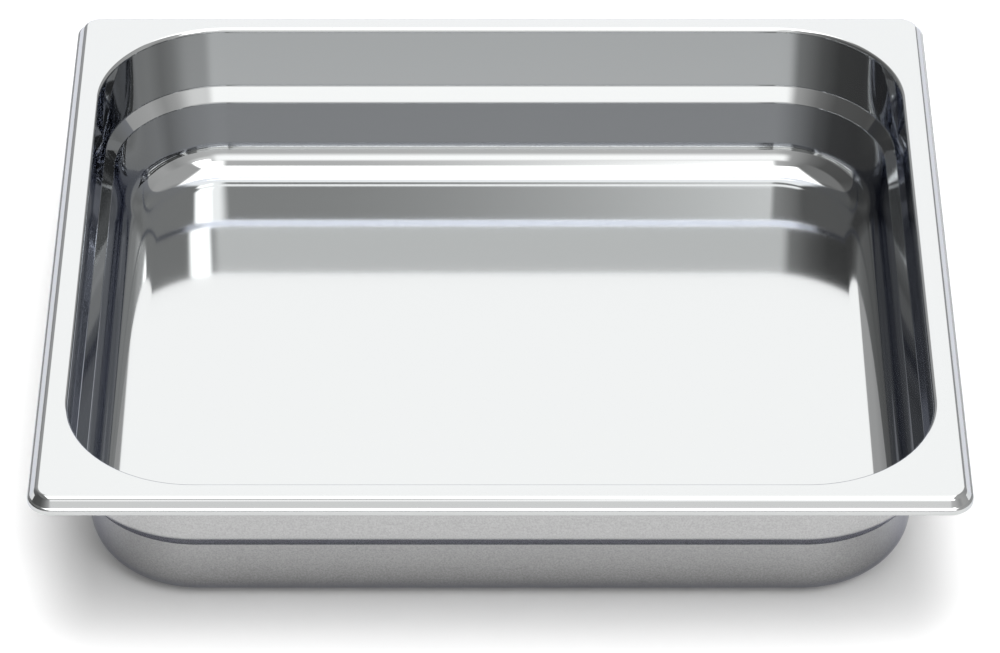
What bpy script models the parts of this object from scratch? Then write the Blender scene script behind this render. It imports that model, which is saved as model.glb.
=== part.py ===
"""Gastronorm food pan, size 2/3 and 65 mm deep, deep-drawn from one sheet of stainless steel.

Metres, +Z up. X runs along the 354 mm side and Y along the 325 mm side. The origin is on the
outside of the base, under the middle of the pan.

The sheet follows one profile, from the cut edge of the lip up, in over the flange and down to the
floor. A profile point is (inset, height): how far it lies inside the pan's outermost edge, and how
high above the base. Each point of the profile becomes a rounded rectangle round the pan.
"""

import math

import bmesh
import bpy

# The gastronorm size, and the sheet.
LENGTH = 0.354
WIDTH = 0.325
HEIGHT = 0.065
SHEET = 0.0008

# The rim, from its outermost edge inwards: a lip turned down, a small foot and a flared wall.
LIP_DEPTH = 0.0062
FOOT_DROP = 0.0039
FOOT_WIDTH = 0.0010
FOOT_RADIUS = 0.0010
FOOT_ROOT_RADIUS = 0.0008
FLARE_SLOPE = math.radians(58.0)
FLARE_TOP_INSET = 0.0032
FLARE_RADIUS = 0.0027
RIM_CORNER_RADIUS = 0.0097

# The well, from the flange down: upper wall, stacking shoulder, lower wall and floor.
WELL_INSET = 0.0119
WELL_EDGE_RADIUS = 0.0018
UPPER_DRAFT = math.radians(2.9)
SHOULDER_DROP = 0.02755
SHOULDER_WIDTH = 0.00395
SHOULDER_HEIGHT = 0.00595
SHOULDER_RADIUS = 0.0024
LOWER_DRAFT = math.radians(7.5)
FLOOR_RADIUS = 0.0144
# The corner radius that the well's rounded rectangles would have if they reached the outermost edge.
WELL_CORNER_RADIUS = 0.0621

# How finely the bends and the corners are cut into flat faces.
BEND_STEP = math.radians(15.0)
CORNER_STEPS = 10

STEEL_COLOUR = (0.62, 0.62, 0.61, 1.0)
STEEL_ROUGHNESS = 0.12


def clear_scene():
    for old in list(bpy.data.objects):
        bpy.data.objects.remove(old, do_unlink=True)


def steel():
    material = bpy.data.materials.new("stainless_steel")
    material.use_nodes = True
    shader = material.node_tree.nodes["Principled BSDF"]
    shader.inputs["Base Color"].default_value = STEEL_COLOUR
    shader.inputs["Metallic"].default_value = 1.0
    shader.inputs["Roughness"].default_value = STEEL_ROUGHNESS
    return material


def rim_corners():
    """Where the rim's straight runs meet, as (inset, height, bend radius), from the cut edge inwards."""
    flare_run = FLARE_TOP_INSET - FOOT_WIDTH
    return [
        (0.0, HEIGHT - LIP_DEPTH, 0.0),
        (0.0, HEIGHT - FOOT_DROP, FOOT_RADIUS),
        (FOOT_WIDTH, HEIGHT - flare_run * math.tan(FLARE_SLOPE), FOOT_ROOT_RADIUS),
        (FLARE_TOP_INSET, HEIGHT, FLARE_RADIUS),
    ]


def well_corners():
    """The same for the well, ending with a point on the floor."""
    top_inset = WELL_INSET + SHOULDER_DROP * math.tan(UPPER_DRAFT)
    top_height = HEIGHT - SHOULDER_DROP
    foot_inset = top_inset + SHOULDER_WIDTH
    foot_height = top_height - SHOULDER_HEIGHT
    floor_inset = foot_inset + (foot_height - SHEET) * math.tan(LOWER_DRAFT)
    return [
        (WELL_INSET, HEIGHT, WELL_EDGE_RADIUS),
        (top_inset, top_height, SHOULDER_RADIUS),
        (foot_inset, foot_height, SHOULDER_RADIUS),
        (floor_inset, SHEET, FLOOR_RADIUS),
        (floor_inset + FLOOR_RADIUS, SHEET, 0.0),
    ]


def bend(before, corner, after):
    """The points of the bend at a corner, each as (inset, height, outward normal of the upper face)."""
    heading = math.atan2(corner[1] - before[1], corner[0] - before[0])
    turn = math.atan2(after[1] - corner[1], after[0] - corner[0]) - heading
    radius = math.copysign(corner[2], turn)
    tangent = corner[2] * math.tan(abs(turn) / 2)
    centre_inset = corner[0] - tangent * math.cos(heading) - radius * math.sin(heading)
    centre_height = corner[1] - tangent * math.sin(heading) + radius * math.cos(heading)
    steps = math.ceil(abs(turn) / BEND_STEP)
    points = []
    for step in range(steps + 1):
        angle = heading + turn * step / steps
        normal = (-math.sin(angle), math.cos(angle))
        points.append((centre_inset - radius * normal[0], centre_height - radius * normal[1], normal))
    return points


def upper_profile():
    """The sheet's upper face as (inset, height, normal, corner radius at the outermost edge)."""
    rim, well = rim_corners(), well_corners()
    corners = rim + well
    cut_edge = (rim[0][0], rim[0][1], (-1.0, 0.0), RIM_CORNER_RADIUS)
    profile = [cut_edge]
    for index in range(1, len(corners) - 1):
        corner_radius = RIM_CORNER_RADIUS if index < len(rim) else WELL_CORNER_RADIUS
        for point in bend(*corners[index - 1 : index + 2]):
            profile.append((*point, corner_radius))
    return profile


def rounded_rectangle(inset, height, corner_radius):
    """The points of a level loop this far inside the outermost edge, anticlockwise from above."""
    radius = corner_radius - inset
    centre_x = LENGTH / 2 - corner_radius
    centre_y = WIDTH / 2 - corner_radius
    points = []
    for quarter, (side_x, side_y) in enumerate([(1, 1), (-1, 1), (-1, -1), (1, -1)]):
        for step in range(CORNER_STEPS + 1):
            angle = math.radians(90.0) * (quarter + step / CORNER_STEPS)
            x = side_x * centre_x + radius * math.cos(angle)
            y = side_y * centre_y + radius * math.sin(angle)
            points.append((x, y, height))
    return points


def sheet_loops():
    """All the loops of the closed sheet: the underside outwards from the floor, then the upper face back in."""
    upper, under = [], []
    for inset, height, normal, corner_radius in upper_profile():
        upper.append(rounded_rectangle(inset, height, corner_radius))
        under_inset = inset - SHEET * normal[0]
        under_height = height - SHEET * normal[1]
        under.append(rounded_rectangle(under_inset, under_height, corner_radius))
    return under[::-1] + upper


def make_pan():
    shell = bmesh.new()
    loops = [[shell.verts.new(point) for point in loop] for loop in sheet_loops()]
    for lower, upper in zip(loops, loops[1:]):
        for index in range(len(lower)):
            shell.faces.new((lower[index - 1], lower[index], upper[index], upper[index - 1]))
    shell.faces.new(loops[0])
    shell.faces.new(loops[-1])
    bmesh.ops.recalc_face_normals(shell, faces=shell.faces)
    mesh = bpy.data.meshes.new("pan")
    shell.to_mesh(mesh)
    shell.free()
    mesh.materials.append(steel())
    mesh.shade_smooth()
    mesh.set_sharp_from_angle(angle=math.radians(40.0))
    pan = bpy.data.objects.new("pan", mesh)
    bpy.context.scene.collection.objects.link(pan)
    return pan


clear_scene()
make_pan()
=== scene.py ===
"""The looks of the gastronorm food pan: a finely drawn polished steel shell on a pale studio floor.

Metres, +Z up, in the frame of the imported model. The shell follows the profile of the CAD pan, with its
bends and corners cut fine enough to mirror the studio without facets. Its shoulder bends are a little
tighter than the CAD's.
"""

import math
from collections import namedtuple

import bpy
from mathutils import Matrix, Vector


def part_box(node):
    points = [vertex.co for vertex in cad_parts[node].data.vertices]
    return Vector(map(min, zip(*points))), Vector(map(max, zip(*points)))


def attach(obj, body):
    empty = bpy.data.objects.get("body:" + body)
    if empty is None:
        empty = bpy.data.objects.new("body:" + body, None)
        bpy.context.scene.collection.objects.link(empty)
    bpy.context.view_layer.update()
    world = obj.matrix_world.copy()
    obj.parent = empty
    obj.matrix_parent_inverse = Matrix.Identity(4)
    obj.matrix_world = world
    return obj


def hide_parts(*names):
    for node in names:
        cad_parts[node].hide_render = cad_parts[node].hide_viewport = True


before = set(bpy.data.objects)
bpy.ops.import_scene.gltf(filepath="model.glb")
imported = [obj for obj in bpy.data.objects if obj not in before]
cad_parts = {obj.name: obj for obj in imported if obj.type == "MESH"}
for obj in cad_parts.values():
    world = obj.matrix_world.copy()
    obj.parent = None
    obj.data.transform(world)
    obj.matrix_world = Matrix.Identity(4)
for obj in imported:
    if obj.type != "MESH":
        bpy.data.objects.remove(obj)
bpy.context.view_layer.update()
pan_low, pan_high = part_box("pan")

QUARTER_TURN = math.radians(90.0)

LENGTH = pan_high.x - pan_low.x
WIDTH = pan_high.y - pan_low.y
HEIGHT = pan_high.z
SHEET = 0.0008

# The rim, from its outermost edge inwards: a lip turned down, a small foot and a flared wall.
LIP_DEPTH = 0.0062
LIP_EDGE_RADIUS = 0.00035
FOOT_DROP = 0.0039
FOOT_WIDTH = 0.0010
FOOT_RADIUS = 0.0010
FOOT_ROOT_RADIUS = 0.0008
FLARE_SLOPE = math.radians(58.0)
FLARE_TOP_INSET = 0.0032
FLARE_RADIUS = 0.0027
RIM_CORNER_RADIUS = 0.0097

# The well, from the flange down: upper wall, stacking shoulder, lower wall and floor.
WELL_INSET = 0.0119
WELL_EDGE_RADIUS = 0.0018
UPPER_DRAFT = math.radians(2.9)
SHOULDER_DROP = 0.02755
SHOULDER_WIDTH = 0.00395
SHOULDER_HEIGHT = 0.00595
SHOULDER_RADIUS = 0.0017
LOWER_DRAFT = math.radians(7.5)
FLOOR_RADIUS = 0.0144
WELL_CORNER_RADIUS = 0.0621

# How finely the bends, the corners and the rounded cut edge are cut.
BEND_STEP = math.radians(4.0)
CORNER_STEPS = 40
EDGE_STEPS = 6

# The order of the shell's materials.
INSIDE, OUTSIDE = 0, 1

# The colour of the steel inside, and the tint of what the steel mirrors at a glancing angle.
POLISHED_COLOUR = (0.492, 0.500, 0.499, 1.0)
POLISHED_GLANCE = (0.73, 0.745, 0.81, 1.0)
DRAWN_GLANCE = (0.66, 0.67, 0.74, 1.0)
# The polish is softer on the well's floor than on its walls, and changes between these heights.
WELL_FLOOR_ROUGHNESS, WALL_ROUGHNESS = 0.080, 0.050
FLOOR_TO_WALL = (0.0015, 0.006)
# Faint lines left by rolling, long in x: how many to the metre along each axis, and their contrast.
ROLLED_LINES = (60.0, 1500.0, 400.0)
ROLLED_DETAIL = 3.0
ROLLED_CONTRAST = 0.035
# The grey of the outside below and above the shoulder, and how much darker it gets towards the foot. Above
# the shoulder it is the satin's own tone; the darker grey below the shoulder and the darkening towards the
# foot are painted shade.
BELOW_SHOULDER_SHADED_GREY, ABOVE_SHOULDER_GREY = 0.353, 0.400
SHOULDER_CHANGE = (0.030, 0.038)
FOOT_SHADE = -0.110
FOOT_TO_WALL = (0.004, 0.024)
# The satin speckle of the outside: grains to the metre, contrast, roughness and height.
SPECKLE_GRAINS = (1500.0, 1500.0, 1500.0)
SPECKLE_DETAIL = 2.0
SPECKLE_CONTRAST = 0.24
SPECKLE_ROUGHNESS = 0.12
SPECKLE_HEIGHT = 0.000004
DRAWN_ROUGHNESS = 0.12

# The studio floor lies a hair below the pan's flat base, so that the two faces don't share a plane.
FLOOR_SIZE = 40.0
FLOOR_LEVEL = -0.00005
FLOOR_COLOUR = (0.98, 0.98, 0.98, 1.0)

# The camera, in front of the pan and above it. It sees past the floor's far edge.
CAMERA_DISTANCE = 1.7171
CAMERA_HEIGHT = 1.3323
CAMERA_PITCH = math.radians(37.30)
CAMERA_LENS = 194.05
CAMERA_SHIFT = (-0.0004, -0.0011)
CAMERA_REACH = 100.0

# The studio, as a dome of light. Azimuth 0 is towards the camera and +90 towards +X, in degrees.
# How bright the bare dome is at each azimuth: dark on the left, grey in front and on the right.
DOME = [
    (-180, 0.60), (-150, 0.60), (-130, 0.25), (-95, 0.13), (-60, 0.155), (-42, 0.29), (-24, 0.575),
    (0, 0.86), (15, 0.86), (36, 0.76), (60, 0.50), (75, 0.66), (95, 0.60), (125, 0.50), (180, 0.60),
]
# The sheets of light on it, each laid over the ones before: its left and right edges in azimuth, its low
# and high edges in elevation, each as (where the edge is, how softly it ends), and its brightness.
Sheet = namedtuple("Sheet", "name left right low high brightness")
SHEETS = [
    Sheet("upper_left", (-122, 8), (-38, 16), (44, 6), (90, 1), 0.33),
    Sheet("upper_right", (48, 8), (122, 8), (36, 8), (90, 1), 0.63),
    Sheet("back", (148.5, 2), (197.8, 1.5), (-20, 2), (64, 6), 1.80),
    Sheet("key_skirt", (17, 8), (40, 20), (28.4, 8), (40, 1), 1.22),
    Sheet("front", (-15.2, 13), (14.8, 12), (26.6, 16), (46, 8), 1.93),
    Sheet("key_glow", (4.5, 16), (22, 4), (47, 4), (66, 6), 3.5),
    Sheet("key", (20.5, 7), (41, 8), (37.5, 3), (66, 6), 6.2),
]
# The sheet overhead is a rectangle: half its size along x and y over its height, with soft edges.
OVERHEAD_HALF_X = (0.34, 0.10)
OVERHEAD_HALF_Y = (0.46, 0.08)
OVERHEAD_BRIGHTNESS = 3.5
# The brighter lamp at its middle: the elevation where it starts, and its brightness.
LAMP_EDGE = (78, 4)
LAMP_BRIGHTNESS = 6.5
# The least upward share of a direction that the rectangle's sums divide by.
LEAST_RISE = 0.01


def rim_corners():
    """Where the rim's straight runs meet, as (inset, height, bend radius), from the cut edge inwards."""
    flare_run = FLARE_TOP_INSET - FOOT_WIDTH
    return [
        (0.0, HEIGHT - LIP_DEPTH, 0.0),
        (0.0, HEIGHT - FOOT_DROP, FOOT_RADIUS),
        (FOOT_WIDTH, HEIGHT - flare_run * math.tan(FLARE_SLOPE), FOOT_ROOT_RADIUS),
        (FLARE_TOP_INSET, HEIGHT, FLARE_RADIUS),
    ]


def well_corners():
    """The same for the well, ending with a point on its floor."""
    top_inset = WELL_INSET + SHOULDER_DROP * math.tan(UPPER_DRAFT)
    top_height = HEIGHT - SHOULDER_DROP
    foot_inset = top_inset + SHOULDER_WIDTH
    foot_height = top_height - SHOULDER_HEIGHT
    floor_inset = foot_inset + (foot_height - SHEET) * math.tan(LOWER_DRAFT)
    return [
        (WELL_INSET, HEIGHT, WELL_EDGE_RADIUS),
        (top_inset, top_height, SHOULDER_RADIUS),
        (foot_inset, foot_height, SHOULDER_RADIUS),
        (floor_inset, SHEET, FLOOR_RADIUS),
        (floor_inset + FLOOR_RADIUS, SHEET, 0.0),
    ]


def bend(before, corner, after):
    """The points of the bend at a corner, each as (inset, height, normal of the upper face)."""
    heading = math.atan2(corner[1] - before[1], corner[0] - before[0])
    turn = math.atan2(after[1] - corner[1], after[0] - corner[0]) - heading
    radius = math.copysign(corner[2], turn)
    tangent = corner[2] * math.tan(abs(turn) / 2)
    centre_inset = corner[0] - tangent * math.cos(heading) - radius * math.sin(heading)
    centre_height = corner[1] - tangent * math.sin(heading) + radius * math.cos(heading)
    steps = math.ceil(abs(turn) / BEND_STEP)
    points = []
    for step in range(steps + 1):
        angle = heading + turn * step / steps
        normal = (-math.sin(angle), math.cos(angle))
        points.append((centre_inset - radius * normal[0], centre_height - radius * normal[1], normal))
    return points


def upper_profile():
    """The sheet's upper face as (inset, height, normal, corner radius at the outermost edge)."""
    rim, well = rim_corners(), well_corners()
    corners = rim + well
    cut_edge = (rim[0][0], rim[0][1] + LIP_EDGE_RADIUS, (-1.0, 0.0), RIM_CORNER_RADIUS)
    profile = [cut_edge]
    for index in range(1, len(corners) - 1):
        corner_radius = RIM_CORNER_RADIUS if index < len(rim) else WELL_CORNER_RADIUS
        for point in bend(*corners[index - 1 : index + 2]):
            profile.append((*point, corner_radius))
    return profile


def lip_edge():
    """The rounded cut edge under the lip, from its inner side to its outer side."""
    centre_height = HEIGHT - LIP_DEPTH + LIP_EDGE_RADIUS
    points = []
    for centre_inset, first_angle in ((SHEET - LIP_EDGE_RADIUS, 0.0), (LIP_EDGE_RADIUS, -QUARTER_TURN)):
        for step in range(EDGE_STEPS + 1):
            angle = first_angle - QUARTER_TURN * step / EDGE_STEPS
            normal = (math.cos(angle), math.sin(angle))
            inset = centre_inset + LIP_EDGE_RADIUS * normal[0]
            height = centre_height + LIP_EDGE_RADIUS * normal[1]
            points.append((inset, height, normal, RIM_CORNER_RADIUS))
    return points


def full_profile():
    """Both faces of the sheet: the under face from the floor outwards, the cut edge, then the upper face."""
    upper = upper_profile()
    under = []
    for inset, height, normal, corner_radius in reversed(upper[1:]):
        back = (-normal[0], -normal[1])
        under.append((inset + SHEET * back[0], height + SHEET * back[1], back, corner_radius))
    return under + lip_edge() + upper[1:]


def rounded_rectangle(inset, height, normal, corner_radius):
    """A level loop this far inside the outermost edge: its points and their outward normals."""
    radius = corner_radius - inset
    centre_x = LENGTH / 2 - corner_radius
    centre_y = WIDTH / 2 - corner_radius
    points, normals = [], []
    for quarter, (side_x, side_y) in enumerate([(1, 1), (-1, 1), (-1, -1), (1, -1)]):
        for step in range(CORNER_STEPS + 1):
            angle = QUARTER_TURN * (quarter + step / CORNER_STEPS)
            out_x, out_y = math.cos(angle), math.sin(angle)
            points.append((side_x * centre_x + radius * out_x, side_y * centre_y + radius * out_y, height))
            normals.append((-normal[0] * out_x, -normal[0] * out_y, normal[1]))
    return points, normals


def make_shell():
    """One closed skin over the profile's loops, with its finish known for each face."""
    points, normals = [], []
    profile = full_profile()
    for row in profile:
        loop_points, loop_normals = rounded_rectangle(*row)
        points += loop_points
        normals += loop_normals
    count = len(points) // len(profile)
    faces = []
    for row in range(len(profile) - 1):
        low, high = row * count, (row + 1) * count
        for index in range(count):
            before = (index - 1) % count
            faces.append((low + before, low + index, high + index, high + before))
    outside_faces = (len(upper_profile()) - 1) * count
    finishes = [OUTSIDE] * outside_faces + [INSIDE] * (len(faces) - outside_faces)
    under_cap = tuple(reversed(range(count)))
    floor_cap = tuple(range(len(points) - count, len(points)))
    faces += [under_cap, floor_cap]
    finishes += [OUTSIDE, INSIDE]
    mesh = bpy.data.meshes.new("pan_shell")
    mesh.from_pydata(points, [], faces)
    mesh.validate()
    mesh.polygons.foreach_set("material_index", finishes)
    mesh.shade_smooth()
    mesh.normals_split_custom_set_from_vertices(normals)
    shell = bpy.data.objects.new("pan_shell", mesh)
    bpy.context.scene.collection.objects.link(shell)
    return shell


def math_node(tree, operation, *values):
    node = tree.nodes.new("ShaderNodeMath")
    node.operation = operation
    for socket, value in zip(node.inputs, values):
        if isinstance(value, (int, float)):
            socket.default_value = value
        else:
            tree.links.new(value, socket)
    return node.outputs["Value"]


def smooth_change(tree, value, span, results):
    """The first result below the span, the second above it, and a smooth change between them."""
    node = tree.nodes.new("ShaderNodeMapRange")
    node.interpolation_type = "SMOOTHSTEP"
    tree.links.new(value, node.inputs["Value"])
    for name, number in zip(("From Min", "From Max", "To Min", "To Max"), (*span, *results)):
        node.inputs[name].default_value = number
    return node.outputs["Result"]


def grain(tree, to_the_metre, detail):
    """Noise around 0.5, with this many grains to the metre along x, y and z."""
    place = tree.nodes.new("ShaderNodeTexCoord").outputs["Object"]
    mapping = tree.nodes.new("ShaderNodeMapping")
    tree.links.new(place, mapping.inputs["Vector"])
    mapping.inputs["Scale"].default_value = to_the_metre
    node = tree.nodes.new("ShaderNodeTexNoise")
    tree.links.new(mapping.outputs["Vector"], node.inputs["Vector"])
    node.inputs["Scale"].default_value = 1.0
    node.inputs["Detail"].default_value = detail
    return node.outputs["Fac"]


def height_above_base(tree):
    parts = tree.nodes.new("ShaderNodeSeparateXYZ")
    tree.links.new(tree.nodes.new("ShaderNodeTexCoord").outputs["Object"], parts.inputs["Vector"])
    return parts.outputs["Z"]


def add_bump(tree, shader, height, depth):
    bump = tree.nodes.new("ShaderNodeBump")
    bump.inputs["Strength"].default_value = 1.0
    bump.inputs["Distance"].default_value = depth
    tree.links.new(height, bump.inputs["Height"])
    tree.links.new(bump.outputs["Normal"], shader.inputs["Normal"])


def steel(name, glance):
    material = bpy.data.materials.new(name)
    material.use_nodes = True
    shader = material.node_tree.nodes["Principled BSDF"]
    shader.inputs["Metallic"].default_value = 1.0
    shader.inputs["Specular Tint"].default_value = glance
    return material, material.node_tree, shader


def polished_steel():
    """The inside and the rim: a clean mirror on the walls, a little softer on the well's floor."""
    material, tree, shader = steel("polished_steel", POLISHED_GLANCE)
    shader.inputs["Base Color"].default_value = POLISHED_COLOUR
    polish = (WELL_FLOOR_ROUGHNESS, WALL_ROUGHNESS)
    finish = smooth_change(tree, height_above_base(tree), FLOOR_TO_WALL, polish)
    rolled = math_node(tree, "SUBTRACT", grain(tree, ROLLED_LINES, ROLLED_DETAIL), 0.5)
    roughness = math_node(tree, "MULTIPLY_ADD", rolled, ROLLED_CONTRAST, finish)
    tree.links.new(roughness, shader.inputs["Roughness"])
    return material


def drawn_steel_with_painted_shade():
    """The outside: a satin face with a fine speckle, darker below the shoulder and towards the foot, where
    the darkening is painted shade.
    """
    material, tree, shader = steel("drawn_steel_with_painted_shade", DRAWN_GLANCE)
    height = height_above_base(tree)
    speckle = grain(tree, SPECKLE_GRAINS, SPECKLE_DETAIL)
    centred = math_node(tree, "SUBTRACT", speckle, 0.5)
    # Painted shade: the satin grey is lowered below the shoulder and again towards the foot.
    wall = smooth_change(tree, height, SHOULDER_CHANGE, (BELOW_SHOULDER_SHADED_GREY, ABOVE_SHOULDER_GREY))
    shade = smooth_change(tree, height, FOOT_TO_WALL, (FOOT_SHADE, 0.0))
    mottled = math_node(tree, "MULTIPLY_ADD", centred, SPECKLE_CONTRAST, wall)
    grey = math_node(tree, "ADD", mottled, shade)
    colour = tree.nodes.new("ShaderNodeCombineColor")
    for socket in colour.inputs:
        tree.links.new(grey, socket)
    tree.links.new(colour.outputs["Color"], shader.inputs["Base Color"])
    roughness = math_node(tree, "MULTIPLY_ADD", speckle, SPECKLE_ROUGHNESS, DRAWN_ROUGHNESS)
    tree.links.new(roughness, shader.inputs["Roughness"])
    add_bump(tree, shader, speckle, SPECKLE_HEIGHT)
    return material


def matt_white():
    material = bpy.data.materials.new("studio_floor")
    material.use_nodes = True
    shader = material.node_tree.nodes["Principled BSDF"]
    shader.inputs["Base Color"].default_value = FLOOR_COLOUR
    shader.inputs["Roughness"].default_value = 1.0
    shader.inputs["Specular IOR Level"].default_value = 0.0
    return material


def make_floor():
    half = FLOOR_SIZE / 2
    corners = [(x, y, FLOOR_LEVEL) for x, y in ((-half, -half), (half, -half), (half, half), (-half, half))]
    mesh = bpy.data.meshes.new("studio_floor")
    mesh.from_pydata(corners, [], [(0, 1, 2, 3)])
    mesh.materials.append(matt_white())
    floor = bpy.data.objects.new("studio_floor", mesh)
    bpy.context.scene.collection.objects.link(floor)


def soft_step(tree, value, edge, softness):
    """0 below the edge and 1 above it."""
    return smooth_change(tree, value, (edge - softness / 2, edge + softness / 2), (0.0, 1.0))


def within(tree, value, low, high):
    """1 between two soft edges, each given as (edge, softness)."""
    above_low = soft_step(tree, value, *low)
    above_high = soft_step(tree, value, *high)
    return math_node(tree, "MULTIPLY", above_low, math_node(tree, "SUBTRACT", 1.0, above_high))


def laid_over(tree, name, under, brightness, mask):
    """The brightness under this light, replaced by the light's own where its mask is 1."""
    node = tree.nodes.new("ShaderNodeMix")
    node.label = name
    node.data_type = "FLOAT"
    tree.links.new(mask, node.inputs["Factor"])
    tree.links.new(under, node.inputs["A"])
    node.inputs["B"].default_value = brightness
    return node.outputs["Result"]


def dome_brightness(tree, azimuth):
    node = tree.nodes.new("ShaderNodeFloatCurve")
    curve = node.mapping.curves[0]
    for angle, brightness in DOME[1:-1]:
        curve.points.new((angle + 180) / 360, brightness)
    for point, (angle, brightness) in zip(curve.points, DOME):
        point.location = ((angle + 180) / 360, brightness)
        point.handle_type = "VECTOR"
    node.mapping.update()
    share = math_node(tree, "DIVIDE", math_node(tree, "ADD", azimuth, 180.0), 360.0)
    tree.links.new(share, node.inputs["Value"])
    return node.outputs["Value"]


def overhead_mask(tree, x, y, z):
    """1 in the directions that meet the rectangle overhead."""
    up = math_node(tree, "MAXIMUM", z, LEAST_RISE)
    inside = []
    for across, half in ((x, OVERHEAD_HALF_X), (y, OVERHEAD_HALF_Y)):
        away = math_node(tree, "ABSOLUTE", math_node(tree, "DIVIDE", across, up))
        inside.append(math_node(tree, "SUBTRACT", 1.0, soft_step(tree, away, *half)))
    return math_node(tree, "MULTIPLY", *inside)


def make_studio_light():
    """Soft sheets behind, in front, to the right and overhead, on a dome that is dark on the left."""
    world = bpy.data.worlds.new("studio_dome")
    bpy.context.scene.world = world
    world.use_nodes = True
    tree = world.node_tree
    direction = tree.nodes.new("ShaderNodeTexCoord").outputs["Generated"]
    parts = tree.nodes.new("ShaderNodeSeparateXYZ")
    tree.links.new(direction, parts.inputs["Vector"])
    x, y, z = parts.outputs
    towards_camera = math_node(tree, "MULTIPLY", y, -1.0)
    azimuth = math_node(tree, "DEGREES", math_node(tree, "ARCTAN2", x, towards_camera))
    # The same azimuth from 0 to 360, for a sheet that crosses 180.
    on_left = math_node(tree, "LESS_THAN", azimuth, 0.0)
    full_azimuth = math_node(tree, "MULTIPLY_ADD", on_left, 360.0, azimuth)
    elevation = math_node(tree, "DEGREES", math_node(tree, "ARCSINE", z))
    glow = dome_brightness(tree, azimuth)
    for sheet in SHEETS:
        turn = full_azimuth if sheet.right[0] > 180 else azimuth
        across = within(tree, turn, sheet.left, sheet.right)
        upright = within(tree, elevation, sheet.low, sheet.high)
        mask = math_node(tree, "MULTIPLY", across, upright)
        glow = laid_over(tree, sheet.name, glow, sheet.brightness, mask)
    glow = laid_over(tree, "overhead", glow, OVERHEAD_BRIGHTNESS, overhead_mask(tree, x, y, z))
    glow = laid_over(tree, "lamp", glow, LAMP_BRIGHTNESS, soft_step(tree, elevation, *LAMP_EDGE))
    background = tree.nodes["Background"]
    background.inputs["Color"].default_value = (1.0, 1.0, 1.0, 1.0)
    tree.links.new(glow, background.inputs["Strength"])


def make_camera():
    camera = bpy.data.objects.new("camera", bpy.data.cameras.new("camera"))
    bpy.context.scene.collection.objects.link(camera)
    camera.location = (0.0, -CAMERA_DISTANCE, CAMERA_HEIGHT)
    camera.rotation_euler = (QUARTER_TURN - CAMERA_PITCH, 0.0, 0.0)
    camera.data.lens = CAMERA_LENS
    camera.data.shift_x, camera.data.shift_y = CAMERA_SHIFT
    camera.data.clip_end = CAMERA_REACH
    bpy.context.scene.camera = camera


make_camera()
make_floor()
make_studio_light()
bpy.context.scene.view_settings.view_transform = "Standard"
# Light that enters a corner of the pan meets its mirror walls more than four times on the way out.
bpy.context.scene.cycles.glossy_bounces = 8

shell = make_shell()
for finish in (polished_steel, drawn_steel_with_painted_shade):
    shell.data.materials.append(finish())
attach(shell, "root")
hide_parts("pan")
